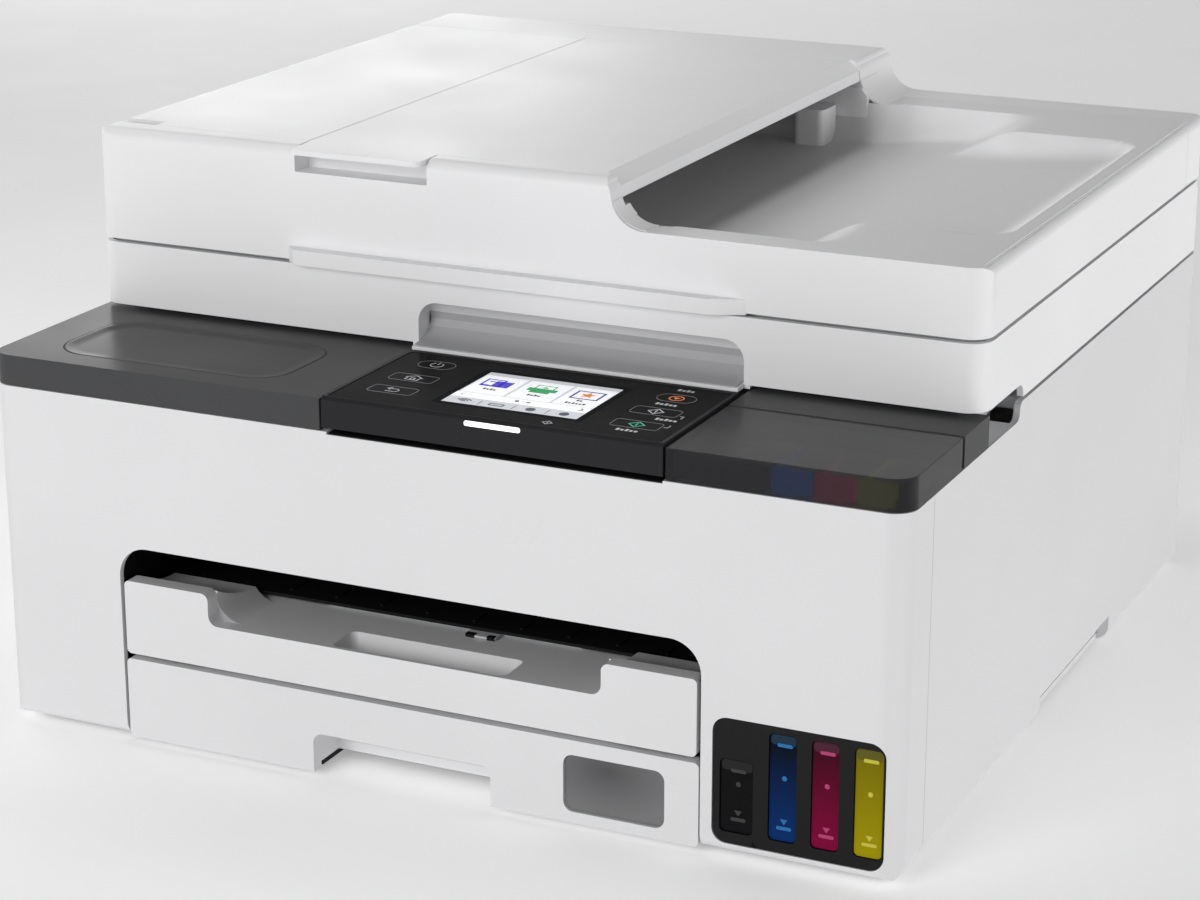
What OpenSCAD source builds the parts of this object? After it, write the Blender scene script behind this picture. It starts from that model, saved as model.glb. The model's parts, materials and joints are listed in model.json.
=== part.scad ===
// Inkjet printer with refillable ink tanks, a flatbed scanner and a document feeder.
// X runs to the right, Y to the back and Z up. The origin is on the floor, under the middle.

/* [Overall] */
// Width over the side covers
body_w = 374; // [373:0.5:376]
// Depth from the front face to the back face
body_d = 380; // [379.5:0.5:381]
// Height of the rubber feet
foot_h = 3; // [2.5:0.1:3]
// Height of the white front cover
front_top = 140; // [139.5:0.1:140]
// Height of the dark top covers
deck_top = 152.3; // [152:0.1:152.6]
// Height of the side covers behind the finger scoops
side_top = 146.9; // [146.6:0.1:147]

/* [Mouldings] */
// Wall thickness of the outer covers
wall = 2.5; // [2.3:0.1:2.6]
// Gap between neighbouring covers
gap = 0.3; // [0.25:0.05:0.35]
// Radius of the upright front corners
corner_r = 9; // [8:0.5:10]
// Radius of the bottom edges
edge_r = 6; // [5:0.5:7]

/* [Paper opening and trays] */
// Left edge of the paper opening
mouth_x0 = -131.7; // [-132:0.1:-131.5]
// Right edge of the paper opening
mouth_x1 = 111.6; // [111.4:0.1:112]
// Top of the paper opening
mouth_top = 82; // [81:0.5:84]
// Top of the cassette front
cassette_top = 36; // [35.5:0.1:36.2]
// Bottom of the output tray front
tray_low = 38.2; // [38:0.1:39]
// Top of the output tray front
tray_top = 68; // [66:0.5:70]

/* [Scanner and lid] */
// Front face of the scanner and of the lid
scan_front = -113.1; // [-113.6:0.1:-112.8]
// Underside of the scanner
scan_low = 154; // [153.8:0.1:154.4]
// Top of the scanner
scan_top = 179.7; // [179.5:0.1:179.8]
// Underside of the lid
lid_low = 181.2; // [181:0.1:181.4]
// Top of the document feeder
lid_top = 226.2; // [225.8:0.1:226.6]
// Rim of the document output dish
rim_top = 207.4; // [206.8:0.2:208]

/* [Print engine] */
// Radius of the paper feed roller
feed_r = 8; // [7.8:0.1:8]
// Radius of the output roller
exit_r = 6; // [5.8:0.1:6]
// Radius of the carriage rail
rail_r = 4; // [3.8:0.1:4]
// Pitch radius of the carriage belt pulleys
pulley_r = 6; // [6:0.5:6]
// Teeth of the feed gear
gear_teeth = 38; // [38:1:38]
// Teeth of the feed motor's pinion
pinion_teeth = 12; // [12:1:12]

/* [Hidden] */
$fn = 48;
eps = 1;                    // how far a cutting shape runs past the face that it cuts
run = 0.05;                 // radial clearance of a shaft in its bearing
hw = body_w / 2;
hd = body_d / 2;
white = [0.90, 0.90, 0.91];
pale = [0.80, 0.81, 0.82];
dark = [0.13, 0.13, 0.14];
black = [0.04, 0.04, 0.045];
metal = [0.70, 0.71, 0.72];
rubber = [0.15, 0.15, 0.15];
cover_y = -164.5;           // seam between the front cover and the side covers
rear_y = 185;               // seam between the side covers and the rear cover
deck_low = front_top + 0.3; // lower edge of the dark top covers
panel_x0 = -40.2;
panel_x1 = 96.2;
ink_x0 = 97.2;              // left edge of the ink cover
deck_back = -106;           // back edge of the dark top covers
ink_hinge = [-135.8, 150.8];
panel_hinge = [-123, 149.3];
scan_hinge = [184, 154];
lid_hinge = [186, 181.6];
feeder_hinge = [-184.5, 208.3];
tray_hinge = [36, 222];
access_hinge = [188.75, 46.55];
scoop_y1 = -66;             // back end of the finger scoops under the scanner's sides
grip = [-25, 72, 14];       // carrying grip: front end, back end and top
window_lo = [116.4, 7.3];
window_hi = [180.9, 55.3];
tank_x = [[117.4, 133.3], [136, 149.8], [152, 165.8], [168, 181.8]];
level_x = [[119.2, 131.5], [137.8, 147.9], [153.9, 163.9], [169.9, 180.1]];
level_top = [39.6, 52.5, 52.5, 52.5];
level_low = 11.8;
neck_x = [129.4, 145.4, 161.4, 177.4];
neck_y = -166;
neck_r = 3.8;
neck_top = 140.9;
inks = [[0.05, 0.05, 0.06], [0.0, 0.24, 0.52], [0.52, 0.0, 0.24], [0.60, 0.56, 0.0]];
feed_pos = [84, 78];        // feed roller axis in Y and Z
exit_pos = [-20, 60];
rail_pos = [40, 118];
belt_y = [79, 85];
belt_z = 114;
pulley_x = [-136, 106];
pinion_pos = [60, 71];
gear_x = [-162, -155];
cassette_x = [-130.4, 111];
chassis_x = [-150, 118];
pick_pos = [80, 44.3];
pick_arm_x = [-31, 24];     // arms that hold the cassette's pick-up roller

// Shapes shared by the parts

module box(lo, hi) {
    translate(lo) cube(hi - lo);
}

module rr(lo, hi, r) {
    translate([lo[0] + r, lo[1]]) square([hi[0] - lo[0] - 2 * r, hi[1] - lo[1]]);
    translate([lo[0], lo[1] + r]) square([hi[0] - lo[0], hi[1] - lo[1] - 2 * r]);
    for (x = [lo[0] + r, hi[0] - r], y = [lo[1] + r, hi[1] - r]) translate([x, y]) circle(r);
}

module along_z(z0, z1) {
    translate([0, 0, z0]) linear_extrude(z1 - z0) children();
}

// The flat shape is drawn in X and Z
module along_y(y0, y1) {
    rotate([90, 0, 0]) translate([0, 0, -y1]) linear_extrude(y1 - y0) children();
}

// The flat shape is drawn in Y and Z
module along_x(x0, x1) {
    rotate([90, 0, 90]) translate([0, 0, x0]) linear_extrude(x1 - x0) children();
}

module rod_x(pos, r, x0, x1) {
    along_x(x0, x1) translate(pos) circle(r);
}

module rod_y(pos, r, y0, y1) {
    along_y(y0, y1) translate(pos) circle(r);
}

module rod_z(pos, r, z0, z1) {
    along_z(z0, z1) translate(pos) circle(r);
}

// Points of a circular arc
function arc(c, r, a0, a1, n = 8) = [
    for (i = [0:n]) let (a = a0 + (a1 - a0) * i / n) c + r * [cos(a), sin(a)]
];

// The lower body's outer form, drawn in by inset
module body_form(inset, z1) {
    intersection() {
        along_z(foot_h + inset, z1) rr([inset - hw, inset - hd], [hw - inset, hd - inset], corner_r - inset);
        along_x(-hw, hw) rr([inset - hd, foot_h + inset], [hd - inset, 220], edge_r - inset);
        along_y(-hd, hd) rr([inset - hw, foot_h + inset], [hw - inset, 220], edge_r - inset);
    }
}

// The covers' shell, open at the top and under the base plate
module body_skin(z1) {
    difference() {
        body_form(0, z1);
        body_form(wall, z1 + eps);
        box([8 - hw, 8 - hd, 0], [hw - 8, hd - 8, foot_h + wall + eps]);
    }
}

// Plan of the scanner and the lid, drawn in by inset
module upper_plan(inset) {
    rr([inset - hw, scan_front + inset], [hw - inset, hd - inset], corner_r - inset);
}

// Base and outer covers

module base_frame() {
    color(dark) difference() {
        union() {
            box([8.3 - hw, -182, foot_h], [hw - 8.3, hd - 8.3, 5]);
            for (x = [-139, 113.2]) box([x, -150, 5], [x + 2.5, 150, 36]);
            for (x = [-174, 150]) box([x, 120, 5], [x + 20, 122.5, 60]);
        }
        box([-48.5, -182 - eps, 0], [28.2, -166, 6]);
        for (s = [-1, 1]) translate([s * 180, 24, 4]) cube([10, 104, 8], center = true);
    }
}

module feet() {
    color(rubber) for (x = [-160, 160], y = [-160, 165]) rod_z([x, y], 9, 0, foot_h);
}

module front_cover() {
    color(white) difference() {
        union() {
            intersection() {
                body_skin(front_top);
                box([-hw - eps, -hd - eps, 0], [hw + eps, cover_y, front_top]);
            }
            box([-hw + wall + 8, -hd + wall - 0.5, front_top - 2.5], [hw - wall - 8, -hd + 6, front_top]);
        }
        along_y(-hd - eps, -hd + 20) {
            rr([mouth_x0, -20], [mouth_x1, mouth_top], 12.5);
            rr(window_lo - [0.3, 0.3], window_hi + [0.3, 0.3], 5.8);
        }
        box([panel_x0 + 2, -hd - eps, front_top - 1], [panel_x1, -hd + 7, front_top + eps]);
    }
}

// Side cover on the right, mirrored for the left
module side_cover() {
    scoop = concat([[cover_y + gap, 0], [rear_y - gap, 0], [rear_y - gap, side_top], [scoop_y1, side_top]],
        arc([scoop_y1, side_top - 3.2], 3.2, 90, 180), arc([scoop_y1 - 6.6, front_top + 3.4], 3.4, 0, -90),
        [[cover_y + gap, front_top]]);
    color(white) difference() {
        union() {
            intersection() {
                body_skin(side_top);
                along_x(hw - 12, hw + eps) polygon(scoop);
            }
            box([hw - 11, -160, front_top - 2.5], [hw - wall + 0.5, -74, front_top]);
            box([hw - 8, grip[0] - 3, foot_h + 3], [hw - wall + 0.5, grip[1] + 3, grip[2] + 2.5]);
        }
        box([hw - 5, grip[0], 0], [hw + eps, grip[1], grip[2]]);
    }
}

module right_side_cover() {
    side_cover();
}

module left_side_cover() {
    mirror([1, 0, 0]) side_cover();
}

module rear_cover() {
    color(pale) difference() {
        intersection() {
            body_skin(side_top);
            box([-hw - eps, rear_y, 0], [hw + eps, hd + eps, side_top + eps]);
        }
        box([-95, rear_y, 45], [95, hd + eps, 115]);
        box([-164.3, rear_y, 17.7], [-138.7, hd + eps, 38.3]);
        box([129.7, rear_y, 59.7], [146.3, hd + eps, 74.3]);
        box([151.7, rear_y, 59.7], [164.3, hd + eps, 72.3]);
        for (z = [124:5:139]) box([-120, rear_y, z], [120, hd + eps, z + 2]);
    }
}

module rear_access_cover() {
    color(pale) difference() {
        union() {
            box([-94.6, hd - 2.5, access_hinge[1]], [94.6, hd, 114.6]);
            rod_x(access_hinge, 1.25, -94.6, 94.6);
            for (x = [-60, 57]) box([x, hd - 8, 60], [x + 3, hd - 2.5, 105]);
        }
        along_y(hd - 0.8, hd + eps) rr([-18, 100], [18, 110], 3);
    }
}

// Dark covers on the deck

// A cover with a top plate and a skirt, its corner_r corner at the front left or front right
module deck_cover(x0, x1, y1, top, skirt) {
    difference() {
        intersection() {
            along_z(deck_low, deck_top) rr([-hw, -hd], [hw, hd], corner_r);
            box([x0, -hd - eps, 0], [x1, y1, deck_top + eps]);
        }
        intersection() {
            along_z(deck_low - eps, deck_top - top) {
                rr([skirt - hw, skirt - hd], [hw - skirt, hd - skirt], corner_r - skirt);
            }
            box([x0 + skirt, -hd, 0], [x1 - skirt, y1 - skirt, deck_top]);
        }
    }
}

module left_top_cover() {
    color(dark) difference() {
        deck_cover(-hw - eps, panel_x0 - 0.8, deck_back, 2.5, 2.5);
        along_z(deck_top - 0.8, deck_top + eps) rr([-168, -178], [-67, -128], 15);
        rod_x(panel_hinge, 1.5 + run, -46, -40);
    }
}

module ink_cover() {
    reach = deck_top - ink_hinge[1];
    color(dark) {
        difference() {
            deck_cover(ink_x0, hw + eps, ink_hinge[0] + reach, 2, 2);
            box([ink_x0 - eps, ink_hinge[0], 0], [hw + eps, -120, ink_hinge[1] - 1.5]);
            box([ink_x0 - eps, ink_hinge[0], 0], [hw + eps, -120, deck_top + eps]);
        }
        rod_x(ink_hinge, reach, ink_x0, hw - 0.4);
    }
}

module ink_bay_trim() {
    color(dark) difference() {
        intersection() {
            along_z(deck_low, deck_top) rr([-hw, -hd], [hw, hd], corner_r);
            box([ink_x0, -133.4, 0], [hw + eps, deck_back, deck_top + eps]);
        }
        box([ink_x0 + 2.5, -130.9, 0], [hw - 2.5, deck_back - 2.5, deck_top - 2.5]);
        rod_x(panel_hinge, 1.5 + run, ink_x0 - eps, ink_x0 + 4);
    }
}

// Fixed frame under the deck and the scanner, with the carriage bay's opening and the hinge brackets
module top_frame() {
    deck_z = 134;
    color(pale) difference() {
        union() {
            box([-184.2, -62, 142], [184.2, 182, 146.5]);
            box([-175.5, -105, 142], [175.5, -62, 146.5]);
            for (s = [-1, 1]) box([s > 0 ? 172 : -175.5, -105, 146.5], [s > 0 ? 175.5 : -172, -62, 153]);
            box([-175.5, -105, deck_z], [175.5, -102.5, 142]);
            box([-178, -186.9, deck_z], [96, -102.5, deck_z + 3]);
            box([98, -134, deck_z], [175.5, -102.5, deck_z + 3]);
            for (s = [-1, 1]) along_x(s * 125 - 4, s * 125 + 4) {
                translate(scan_hinge) circle(4);
                translate([scan_hinge[0] - 4, 146]) square([7.2, scan_hinge[1] - 146]);
            }
        }
        along_z(130, 148) rr([-142, -60], [116, 76], 6);
        for (s = [-1, 1]) rod_x(scan_hinge, 2 + run, s * 125 - 8, s * 125 + 8);
    }
}

// Black liner of the paper opening, with the ribbed plate that the sheets slide over
module paper_exit_frame() {
    plate = [57, 58.3];
    color(black) {
        box([-134.6, -186, mouth_top + 1], [114.4, -62, mouth_top + 3]);
        for (x = [-134.6, 112.4]) box([x, -186, 36.3], [x + 2, -62, mouth_top + 1]);
        box([-133.6, -154.5, plate[0]], [113.4, -62, plate[1]]);
        for (x = [-120 : 20 : 100]) box([x, -150, plate[0] + 0.5], [x + 1.2, -62, plate[1] + 0.6]);
    }
}

// Ink system

module ink_window() {
    color(black) difference() {
        along_y(-hd + 0.4, -hd + 3) rr(window_lo, window_hi, 5.5);
        along_y(-hd, -hd + 4) for (i = [0:3]) {
            rr([level_x[i][0] - 0.25, level_low - 0.25], [level_x[i][1] + 0.25, level_top[i] + 0.25], 2);
        }
        along_y(-hd, -hd + 1) translate([132.8, 8.7]) circle(1.2);
    }
}

module ink_tank(i) {
    color(inks[i]) {
        along_z(8.5, 60) rr([tank_x[i][0], -hd + 3.2], [tank_x[i][1], -136], 2.5);
        along_y(-hd + 1.2, -hd + 5) rr([level_x[i][0], level_low], [level_x[i][1], level_top[i]], 1.75);
        rod_z([neck_x[i], neck_y], neck_r, 60, neck_top);
    }
}

module ink_tank_black() {
    ink_tank(0);
}

module ink_tank_cyan() {
    ink_tank(1);
}

module ink_tank_magenta() {
    ink_tank(2);
}

module ink_tank_yellow() {
    ink_tank(3);
}

module ink_tank_caps() {
    for (i = [0:3]) color(inks[i]) {
        along_z(neck_top, deck_top - 3) rr([neck_x[i] - 6.4, -184], [neck_x[i] + 6.4, -157], 2);
        box([neck_x[i] - 4, -187, neck_top], [neck_x[i] + 4, -184, neck_top + 3]);
    }
}

// Control panel

screen_lo = [1.5, -176];
screen_hi = [56.2, -135];
bezel_lo = [-1, -178.6];
bezel_hi = [58, -131];
// Each button: centre, half its width and half its depth, and its corner radius
buttons = [
    [[-21.1, -135.6], [7.5, 4.6], 4.5],
    [[-20.9, -154.4], [9.2, 4.2], 1.6],
    [[-20.5, -171.2], [9.2, 4.2], 1.6],
    [[78.3, -137.2], [7.5, 4.6], 4.5],
    [[78.1, -155.1], [9.2, 4.2], 1.6],
    [[78.3, -172.3], [9.2, 4.2], 1.6]
];
panel_top = deck_top + 1.1;
face_low = panel_top - 1.6;
face_top = panel_top - 0.2;
light_lo = [18.3, 149.7];   // slot of the status light in the panel's front face
light_hi = [41, 152];

module button_plan(b, grow) {
    rr(b[0] - b[1] - [grow, grow], b[0] + b[1] + [grow, grow], b[2]);
}

module panel_housing() {
    side = concat([[-hd, deck_low + 1.2], [-130, deck_low + 1.2], [-127, panel_hinge[1] - 3]],
        arc(panel_hinge, 3, -90, 20), [[-120.6, deck_top - 0.1], [-121.8, panel_top],
        [-hd + 1.2, panel_top], [-hd, panel_top - 1.2]]);
    color(dark) {
        difference() {
            along_x(panel_x0, panel_x1) polygon(side);
            along_z(face_low, panel_top + eps) rr([panel_x0 + 1.5, -hd + 1.5], [panel_x1 - 1.5, -123.2], 1.2);
            along_y(-hd - eps, -hd + 0.5) rr(light_lo, light_hi, 0.9);
            for (b = buttons) along_z(face_low - 4, face_low + eps) button_plan(b, 0.35);
            along_z(face_low - 3, face_low + eps) rr(bezel_lo, bezel_hi, 2);
        }
        rod_x(panel_hinge, 1.5, panel_x0 - 2.5, panel_x0 + 0.5);
        rod_x(panel_hinge, 1.5, panel_x1 - 0.5, panel_x1 + 3);
    }
}

module panel_face() {
    color(black) difference() {
        along_z(face_low, face_top) rr([panel_x0 + 1.6, -hd + 1.6], [panel_x1 - 1.6, -123.3], 1.1);
        for (b = buttons) along_z(face_low - eps, face_top + eps) button_plan(b, 0.35);
        along_z(face_low - eps, face_top + eps) rr(screen_lo, screen_hi, 0.8);
    }
}

module panel_screen() {
    color([0.92, 0.95, 0.98]) {
        along_z(face_low - 2.8, face_low) rr(bezel_lo + [0.1, 0.1], bezel_hi - [0.1, 0.1], 1.9);
        along_z(face_low, face_top - 0.1) rr(screen_lo + [0.1, 0.1], screen_hi - [0.1, 0.1], 0.7);
    }
}

module button(i, tone) {
    color(tone) along_z(face_low - 2.8, face_top) button_plan(buttons[i], 0);
}

module power_button() {
    button(0, dark);
}

module home_button() {
    button(1, dark);
}

module back_button() {
    button(2, dark);
}

module stop_button() {
    button(3, dark);
}

module start_black_button() {
    button(4, dark);
}

module start_colour_button() {
    button(5, dark);
}

// Scanner unit

recess_x = [-41, 94.6];     // hand recess behind the control panel
recess_top = 170.5;
lip_y = scan_front - 6.5;   // in front of the recess's lower lip
skirt_low = side_top + 1.5;
glass_lo = [-140, -62];
glass_hi = [165, 158];
strip_lo = [-172, -62];
strip_hi = [-152, 158];
scan_floor = scan_low + 2.5;
scan_rail_pos = [47, 163];
ear_x = [90.5, 106.5];      // lid hinge ears, each 3 mm wide
knuckle_x = [94, 106];

module scanner_case() {
    sf = scan_front;
    recess = [[lip_y, scan_low], [lip_y, recess_top], [sf + 3, recess_top], [sf + 8.6, recess_top - 5.9],
        [sf + 9.6, recess_top - 9], [sf + 8.6, recess_top - 12], [sf + 5.6, scan_low + 2.1],
        [sf + 1, scan_low + 0.7], [lip_y + 1, scan_low]];
    recess_wall = [[sf, scan_low - 1.4], [sf, recess_top + 2.5], [sf + 5, recess_top + 2.5],
        [sf + 12.1, recess_top - 5], [sf + 12.1, recess_top - 11], [sf + 8.5, scan_low]];
    skirt = concat([[scoop_y1, scan_low + eps], [scoop_y1 - 5, scan_low + eps], [scoop_y1 - 5, scan_low]],
        arc([scoop_y1 - 5, skirt_low + 0.5], 5, 90, 6),
        [[scoop_y1, skirt_low], [184, skirt_low], [184, scan_low + eps]]);
    color(white) difference() {
        union() {
            difference() {
                along_z(scan_low, scan_top) upper_plan(0);
                along_z(scan_floor, scan_top + eps) upper_plan(wall);
            }
            intersection() {
                along_x(-hw - eps, hw + eps) polygon(skirt);
                difference() {
                    along_z(skirt_low, scan_floor) upper_plan(0);
                    along_z(skirt_low - eps, scan_floor + eps) upper_plan(wall);
                    box([wall - hw, 100, skirt_low - eps], [hw - wall, hd + eps, scan_low]);
                }
            }
            along_x(recess_x[0] - 2.5, recess_x[1] + 2.5) polygon(recess_wall);
            box([recess_x[0], lip_y + 1, scan_low - 1.4], [recess_x[1], scan_front + eps, scan_low + 1]);
            for (s = [-1, 1]) box([s * 125 - 8, 177, scan_floor - eps], [s * 125 + 8, 189, scan_floor + 5]);
        }
        intersection() {
            along_x(recess_x[0], recess_x[1]) polygon(recess);
            along_y(-hd, 0) rr([recess_x[0], 100], [recess_x[1], recess_top], 8);
        }
        for (s = [-1, 1]) {
            box([s * 125 - 4.4, 179.4, scan_low - eps], [s * 125 + 4.4, hd + eps, scan_hinge[1] + 4.5]);
        }
        box([-hw - eps, lid_hinge[0] - 5, lid_hinge[1] - 4.4], [hw + eps, hd + eps, scan_top + eps]);
    }
    color(white) for (s = [-1, 1]) {
        rod_x(scan_hinge, 2, s * 125 - 5, s * 125 + 5);
        for (x = ear_x) mirror([s < 0 ? 1 : 0, 0, 0]) {
            box([x, 182.4, lid_hinge[1] - 5], [x + 3, 189.6, lid_hinge[1] + 3]);
        }
        mirror([s < 0 ? 1 : 0, 0, 0]) rod_x(lid_hinge, 1.5, ear_x[0] + 1, ear_x[1] + 1);
    }
}

module scanner_bezel() {
    color(pale) difference() {
        along_z(scan_top - 3.7, scan_top) rr([wall + 0.1 - hw, scan_front + 6], [hw - wall - 0.1, 180.6], 5);
        for (p = [[glass_lo, glass_hi], [strip_lo, strip_hi]]) {
            box([p[0][0], p[0][1], scan_top - 2.6], [p[1][0], p[1][1], scan_top + eps]);
            box([p[0][0] + 3, p[0][1] + 3, scan_top - 5], [p[1][0] - 3, p[1][1] - 3, scan_top + eps]);
        }
    }
}

module scanner_glass() {
    color([0.6, 0.7, 0.72, 0.5]) for (p = [[glass_lo, glass_hi], [strip_lo, strip_hi]]) {
        box([p[0][0] + 0.1, p[0][1] + 0.1, scan_top - 2.6], [p[1][0] - 0.1, p[1][1] - 0.1, scan_top - 0.3]);
    }
}

// Contact image sensor on its sliding carrier, which scans to the right
module scan_carriage() {
    color(black) difference() {
        union() {
            box([-172, -58, 167], [-154, 154, scan_top - 5.5]);
            box([-172, 20, scan_floor + 0.6], [-154, 60, 167]);
        }
        rod_x(scan_rail_pos, 3 + run, -173, -153);
        box([-173, 24, 0], [-153, 37, 162.4]);
    }
}

// Fixed scan rail, motor and drive belt
module scan_drive() {
    color(metal) rod_x(scan_rail_pos, 3, wall - hw, hw - wall);
    color(dark) box([158, -55, scan_floor], [180, -20, 172]);
    color(rubber) difference() {
        along_z(158, 161.5) rr([-181, 25.5], [176, 35.5], 4.9);
        along_z(157, 163) rr([-180, 26.5], [175, 34.5], 3.9);
    }
}

// Lid and document feeder

dish_x = 177;
dish_y = [-100, 154];
step_y = [-64, 118];        // narrower right end of the dish
step_x = 121;
exit_y = [-99, 148];        // opening between the feeder and the dish
exit_x = 46;
arm_y = [-103.4, 150];      // seams between the fixed arms and the moving covers
cover_split = -94.4;        // seam between the feeder cover and the document tray
tab_x = [-93.6, -37];

lid_profile = concat([[-hw, lid_low], [hw, lid_low]], arc([hw - 4, rim_top - 4], 4, 0, 90),
    arc([54, rim_top + 13.6], 13.6, -90, -180, 12), [[40, 222.5]], arc([36.5, lid_top - 2.5], 2.5, 0, 90),
    arc([6 - hw, lid_top - 6], 6, 90, 180));

module lid_form() {
    intersection() {
        along_y(scan_front - eps, hd + eps) polygon(lid_profile);
        along_z(lid_low, lid_top) upper_plan(0);
        along_x(-hw, hw) rr([scan_front, lid_low - 20], [hd, lid_top], 5);
    }
}

module lid_base() {
    floor_profile = [[-92, 190], [40, 190], [100, 195], [dish_x - 12, 200.5], [dish_x, rim_top + 1],
        [dish_x, 240], [-92, 240]];
    color(white) difference() {
        union() {
            lid_form();
            along_z(lid_low - 0.7, 186.5) polygon([[-98, scan_front + 1], [-98, scan_front],
                [-93, scan_front - 5.4], [82, scan_front - 5.4], [95, scan_front], [95, scan_front + 1]]);
        }
        // feeder chamber on the left
        box([wall - hw, -98, 188], [-96, 147, 230]);
        box([-hw - eps, -94, 205.5], [-163.7, 150, 230]);
        box([-hw - eps, -101, 222], [cover_split + 0.2, 150, 230]);
        box([-hw - eps, -101, 222], [-165, -94, 230.5]);
        // opening under the document tray and the output dish
        intersection() {
            along_y(-200, 200) polygon(floor_profile);
            union() {
                box([-92, exit_y[0], 180], [exit_x, exit_y[1], 240]);
                box([exit_x - eps, dish_y[0], 180], [step_x, dish_y[1], 240]);
                box([step_x - eps, step_y[0], 180], [dish_x, step_y[1], 240]);
            }
        }
        box([cover_split, arm_y[0], 222], [43, arm_y[1], 230]);
        box([26, arm_y[0], 214.4], [46, arm_y[1], 223]);
        // finger recess under the document tray's tab
        box([tab_x[0] - 0.6, scan_front - 8, 216.3], [tab_x[1] + 0.6, arm_y[0] + 1, 230]);
        // pivots and hinge pockets
        rod_y(tray_hinge, 1.5 + run, arm_y[0] - 4, arm_y[1] + 4);
        for (s = [-1, 1]) mirror([s < 0 ? 1 : 0, 0, 0]) {
            box([ear_x[0] - 0.5, 181.2, 180], [ear_x[1] + 3.5, hd + eps, lid_hinge[1] + 5]);
        }
        difference() {
            box([-hw - eps, lid_hinge[0], 180], [hw + eps, hd + eps, lid_hinge[1]]);
            rod_x(lid_hinge, hd - lid_hinge[0], -hw, hw);
        }
        rod_y([-150, 199], 3 + run, -101, 150);
        rod_y([-116, 205], 2.5 + run, -101, 150);
    }
    color(white) {
        for (s = [-1, 1]) mirror([s < 0 ? 1 : 0, 0, 0]) difference() {
            union() {
                rod_x(lid_hinge, 3.3, knuckle_x[0], knuckle_x[1]);
                box([knuckle_x[0], 183, lid_hinge[1]], [knuckle_x[1], 189, lid_hinge[1] + 6]);
            }
            rod_x(lid_hinge, 1.5 + run, knuckle_x[0] - eps, knuckle_x[1] + eps);
        }
        along_z(189, 206.5) rr([17, 130], [31, exit_y[1] + 0.5], 3);
    }
}

module lid_pad() {
    color(white) box(concat(glass_lo + [1, 1], scan_top + 0.3), concat(glass_hi - [1, 1], lid_low));
}

module feeder_cover() {
    color(white) {
        difference() {
            intersection() {
                lid_form();
                union() {
                    box([-165, -100.7, 222.3], [cover_split - 0.2, 149.7, 230]);
                    box([-hw - eps, -93.7, feeder_hinge[1]], [-164, 149.7, 230]);
                }
            }
            box([wall - hw, -92, 200], [-100, 148, lid_top - 3.6]);
            box([-182, -94.5, 200], [-100, 148, lid_top - 3.6]);
        }
        rod_y(feeder_hinge, 1.4, -93.7, 149.7);
    }
}

// Hinged document tray: it closes over the dish and opens to the right
module document_tray() {
    flap = [[cover_split + 0.2, lid_top - 3.6], [cover_split + 0.2, lid_top], [34.5, lid_top],
        [40, lid_top - 4.7], [40.6, lid_top - 9], [37.6, lid_top - 9.2], [36, lid_top - 5.2],
        [31, lid_top - 3.6]];
    color(white) {
        along_y(arm_y[0] + 0.3, arm_y[1] - 0.3) polygon(flap);
        along_z(lid_top - 2.2, lid_top) rr([tab_x[0], scan_front - 5], [tab_x[1], arm_y[0] + 4], 3);
        rod_y(tray_hinge, 1.5, arm_y[0] - 3, arm_y[0] + 2);
        rod_y(tray_hinge, 1.5, arm_y[1] - 2, arm_y[1] + 3);
    }
}

// Paper guide on the document tray's inner face; side is -1 at the front and 1 at the back
module document_guide(side) {
    y = side < 0 ? -84 : 131;
    color(pale) {
        box([-62, y, 209], [-12, y + 2, lid_top - 3.8]);
        box([-50, side < 0 ? y : y - 18, lid_top - 5.4], [-24, side < 0 ? y + 20 : y + 2, lid_top - 3.8]);
    }
}

module document_guide_front() {
    document_guide(-1);
}

module document_guide_back() {
    document_guide(1);
}

module feeder_roller() {
    color(rubber) {
        for (y = [-70:45:110]) rod_y([-150, 199], 8, y, y + 25);
        rod_y([-150, 199], 3, -100.5, 149.5);
    }
}

module feeder_pick_roller() {
    color(rubber) {
        rod_y([-116, 205], 7, 10, 44);
        rod_y([-116, 205], 2.5, -100.5, 149.5);
    }
}

// Output tray

deck_z = 55.4;              // tray surface, level with the bottom of the front notch
tray_mid = -10;
tray_hw = 120;              // half width of the tray
notch_r = 82.5;             // half width of the notch in the tray's front

// Side wall of the tray's mouth on the right of its middle: it rises to the front in a hollow curve;
// r rounds it into the deck
module tray_shoulder(r) {
    side = tray_hw - 2;
    across = concat([[side, deck_z - eps], [side, tray_top], [notch_r, tray_top]],
        arc([notch_r - r, deck_z + r], r, 0, -90), [[notch_r - r, deck_z - eps]]);
    along = concat([[-hd + 6, deck_z - eps]], arc([-157.5, deck_z + 57.7], 52.5, 240.9, 270),
        [[-157.5, deck_z - eps]]);
    intersection() {
        along_y(-hd + 6, -157.5) polygon(across);
        along_x(notch_r - r, side) polygon(along);
    }
}

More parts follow.
